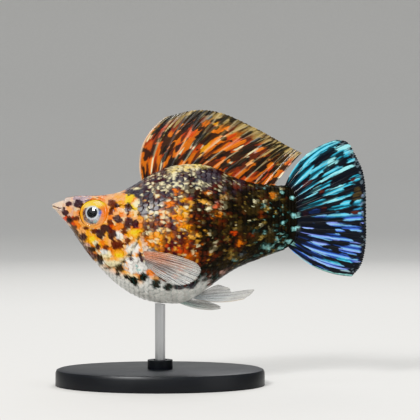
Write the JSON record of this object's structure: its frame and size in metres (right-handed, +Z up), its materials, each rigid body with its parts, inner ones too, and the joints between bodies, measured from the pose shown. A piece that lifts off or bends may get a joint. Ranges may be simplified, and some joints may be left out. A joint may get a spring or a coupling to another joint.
{
  "type": "balloon molly",
  "caption": "Still model of a deep-bellied livebearer fish with a sail-like dorsal fin and fan-shaped tail, held level on a rod above an oval base.",
  "frame": {"origin": "centre of the stand's flat underside", "axes": "+Z up, the fish faces -X with its long axis level along X, its left flank looks towards -Y"},
  "size_m": [0.0601, 0.026, 0.0526],
  "materials": {
    "skin": "wet scaled skin",
    "cover": "wet scaled skin",
    "eye": "gloss",
    "lip": "wet skin",
    "orange_fin": "wet membrane",
    "blue_fin": "wet membrane",
    "clear_fin": "wet membrane",
    "stand": "satin",
    "steel": "brushed"
  },
  "bodies": {
    "root": {"head": "skin", "trunk": "skin", "tail_stalk": "skin", "gill_cover_left": "cover", "gill_cover_right": "cover", "eye_left": "eye", "eye_right": "eye", "jaw_upper": "lip", "jaw_lower": "lip", "dorsal_fin": "orange_fin", "tail_fin": "blue_fin", "gonopodium": "clear_fin", "pectoral_fin_left": "clear_fin", "pectoral_fin_right": "clear_fin", "pelvic_fin_left": "clear_fin", "pelvic_fin_right": "clear_fin", "stand_base": "stand", "stand_rod": "steel"}
  },
  "joints": []
}
